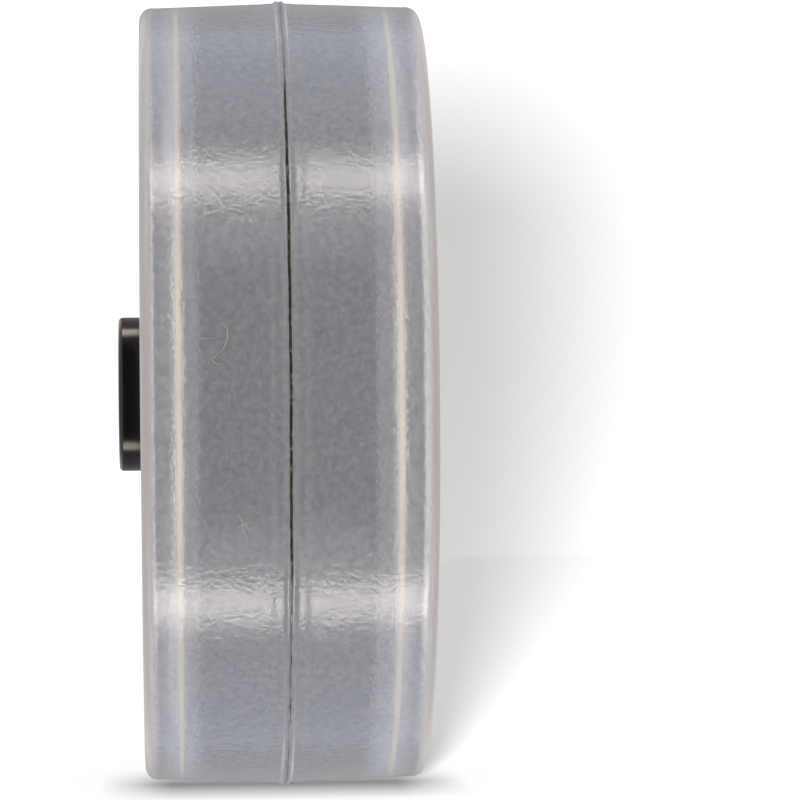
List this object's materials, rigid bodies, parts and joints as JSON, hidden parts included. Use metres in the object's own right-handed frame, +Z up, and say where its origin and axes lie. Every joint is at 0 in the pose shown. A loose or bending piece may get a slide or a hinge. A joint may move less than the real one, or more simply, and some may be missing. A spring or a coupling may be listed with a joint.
{
  "type": "caster wheel",
  "caption": "Translucent polyurethane wheel on a black spoked core, with shielded ball bearings and flanged axle bushes that stand proud of its sides.",
  "frame": {"origin": "the wheel's centre, on the axle's line, half-way between the tyre's two sides", "axes": "+Y along the axle, from the left bush to the right bush; +Z up; +X the way the wheel rolls when it turns positively about +Y"},
  "size_m": [0.0764, 0.0308, 0.0764],
  "materials": {
    "tyre": "translucent polyurethane, satin, straight from the mould",
    "core": "black nylon, satin",
    "bush": "black acetal, turned",
    "spacer_aluminium": "turned",
    "ring_steel": "ground",
    "shield_steel": "pressed strip",
    "cage_steel": "pressed strip",
    "ball_steel": "polished"
  },
  "bodies": {
    "axle_stack": {"left_bush": "bush", "right_bush": "bush", "spacer_sleeve": "spacer_aluminium", "left_inner_ring": "ring_steel", "right_inner_ring": "ring_steel"},
    "wheel": {"tyre": "tyre", "core": "core", "left_outer_ring": "ring_steel", "left_inner_shield": "shield_steel", "left_outer_shield": "shield_steel", "right_outer_ring": "ring_steel", "right_inner_shield": "shield_steel", "right_outer_shield": "shield_steel"},
    "left_cage": {"left_inner_cage_half": "cage_steel", "left_outer_cage_half": "cage_steel", "left_cage_rivets": "cage_steel"},
    "left_ball_1_body": {"left_ball_1": "ball_steel"},
    "left_ball_2_body": {"left_ball_2": "ball_steel"},
    "left_ball_3_body": {"left_ball_3": "ball_steel"},
    "left_ball_4_body": {"left_ball_4": "ball_steel"},
    "left_ball_5_body": {"left_ball_5": "ball_steel"},
    "left_ball_6_body": {"left_ball_6": "ball_steel"},
    "left_ball_7_body": {"left_ball_7": "ball_steel"},
    "right_cage": {"right_inner_cage_half": "cage_steel", "right_outer_cage_half": "cage_steel", "right_cage_rivets": "cage_steel"},
    "right_ball_1_body": {"right_ball_1": "ball_steel"},
    "right_ball_2_body": {"right_ball_2": "ball_steel"},
    "right_ball_3_body": {"right_ball_3": "ball_steel"},
    "right_ball_4_body": {"right_ball_4": "ball_steel"},
    "right_ball_5_body": {"right_ball_5": "ball_steel"},
    "right_ball_6_body": {"right_ball_6": "ball_steel"},
    "right_ball_7_body": {"right_ball_7": "ball_steel"}
  },
  "joints": [
    {"name": "wheel_spin", "type": "hinge", "parent": "axle_stack", "child": "wheel", "pos_m": [0, 0, 0], "axis": [0, 1, 0], "continuous": true},
    {"name": "left_cage_orbit", "type": "hinge", "parent": "axle_stack", "child": "left_cage", "pos_m": [0, -0.0085, 0], "axis": [0, 1, 0], "continuous": true},
    {"name": "left_ball_1_roll", "type": "hinge", "parent": "left_cage", "child": "left_ball_1_body", "pos_m": [0.0075, -0.0085, 0], "axis": [0, 1, 0], "continuous": true},
    {"name": "left_ball_2_roll", "type": "hinge", "parent": "left_cage", "child": "left_ball_2_body", "pos_m": [0.00468, -0.0085, -0.00586], "axis": [0, 1, 0], "continuous": true},
    {"name": "left_ball_3_roll", "type": "hinge", "parent": "left_cage", "child": "left_ball_3_body", "pos_m": [-0.00167, -0.0085, -0.00731], "axis": [0, 1, 0], "continuous": true},
    {"name": "left_ball_4_roll", "type": "hinge", "parent": "left_cage", "child": "left_ball_4_body", "pos_m": [-0.00676, -0.0085, -0.00325], "axis": [0, 1, 0], "continuous": true},
    {"name": "left_ball_5_roll", "type": "hinge", "parent": "left_cage", "child": "left_ball_5_body", "pos_m": [-0.00676, -0.0085, 0.00325], "axis": [0, 1, 0], "continuous": true},
    {"name": "left_ball_6_roll", "type": "hinge", "parent": "left_cage", "child": "left_ball_6_body", "pos_m": [-0.00167, -0.0085, 0.00731], "axis": [0, 1, 0], "continuous": true},
    {"name": "left_ball_7_roll", "type": "hinge", "parent": "left_cage", "child": "left_ball_7_body", "pos_m": [0.00468, -0.0085, 0.00586], "axis": [0, 1, 0], "continuous": true},
    {"name": "right_cage_orbit", "type": "hinge", "parent": "axle_stack", "child": "right_cage", "pos_m": [0, 0.0085, 0], "axis": [0, 1, 0], "continuous": true},
    {"name": "right_ball_1_roll", "type": "hinge", "parent": "right_cage", "child": "right_ball_1_body", "pos_m": [0.0075, 0.0085, 0], "axis": [0, 1, 0], "continuous": true},
    {"name": "right_ball_2_roll", "type": "hinge", "parent": "right_cage", "child": "right_ball_2_body", "pos_m": [0.00468, 0.0085, -0.00586], "axis": [0, 1, 0], "continuous": true},
    {"name": "right_ball_3_roll", "type": "hinge", "parent": "right_cage", "child": "right_ball_3_body", "pos_m": [-0.00167, 0.0085, -0.00731], "axis": [0, 1, 0], "continuous": true},
    {"name": "right_ball_4_roll", "type": "hinge", "parent": "right_cage", "child": "right_ball_4_body", "pos_m": [-0.00676, 0.0085, -0.00325], "axis": [0, 1, 0], "continuous": true},
    {"name": "right_ball_5_roll", "type": "hinge", "parent": "right_cage", "child": "right_ball_5_body", "pos_m": [-0.00676, 0.0085, 0.00325], "axis": [0, 1, 0], "continuous": true},
    {"name": "right_ball_6_roll", "type": "hinge", "parent": "right_cage", "child": "right_ball_6_body", "pos_m": [-0.00167, 0.0085, 0.00731], "axis": [0, 1, 0], "continuous": true},
    {"name": "right_ball_7_roll", "type": "hinge", "parent": "right_cage", "child": "right_ball_7_body", "pos_m": [0.00468, 0.0085, 0.00586], "axis": [0, 1, 0], "continuous": true}
  ],
  "couplings": [
    {"joint": "left_cage_orbit", "follows": "wheel_spin", "ratio": 0.63167},
    {"joint": "left_ball_1_roll", "follows": "wheel_spin", "ratio": 1.7671},
    {"joint": "left_ball_2_roll", "follows": "wheel_spin", "ratio": 1.7671},
    {"joint": "left_ball_3_roll", "follows": "wheel_spin", "ratio": 1.7671},
    {"joint": "left_ball_4_roll", "follows": "wheel_spin", "ratio": 1.7671},
    {"joint": "left_ball_5_roll", "follows": "wheel_spin", "ratio": 1.7671},
    {"joint": "left_ball_6_roll", "follows": "wheel_spin", "ratio": 1.7671},
    {"joint": "left_ball_7_roll", "follows": "wheel_spin", "ratio": 1.7671},
    {"joint": "right_cage_orbit", "follows": "wheel_spin", "ratio": 0.63167},
    {"joint": "right_ball_1_roll", "follows": "wheel_spin", "ratio": 1.7671},
    {"joint": "right_ball_2_roll", "follows": "wheel_spin", "ratio": 1.7671},
    {"joint": "right_ball_3_roll", "follows": "wheel_spin", "ratio": 1.7671},
    {"joint": "right_ball_4_roll", "follows": "wheel_spin", "ratio": 1.7671},
    {"joint": "right_ball_5_roll", "follows": "wheel_spin", "ratio": 1.7671},
    {"joint": "right_ball_6_roll", "follows": "wheel_spin", "ratio": 1.7671},
    {"joint": "right_ball_7_roll", "follows": "wheel_spin", "ratio": 1.7671}
  ]
}
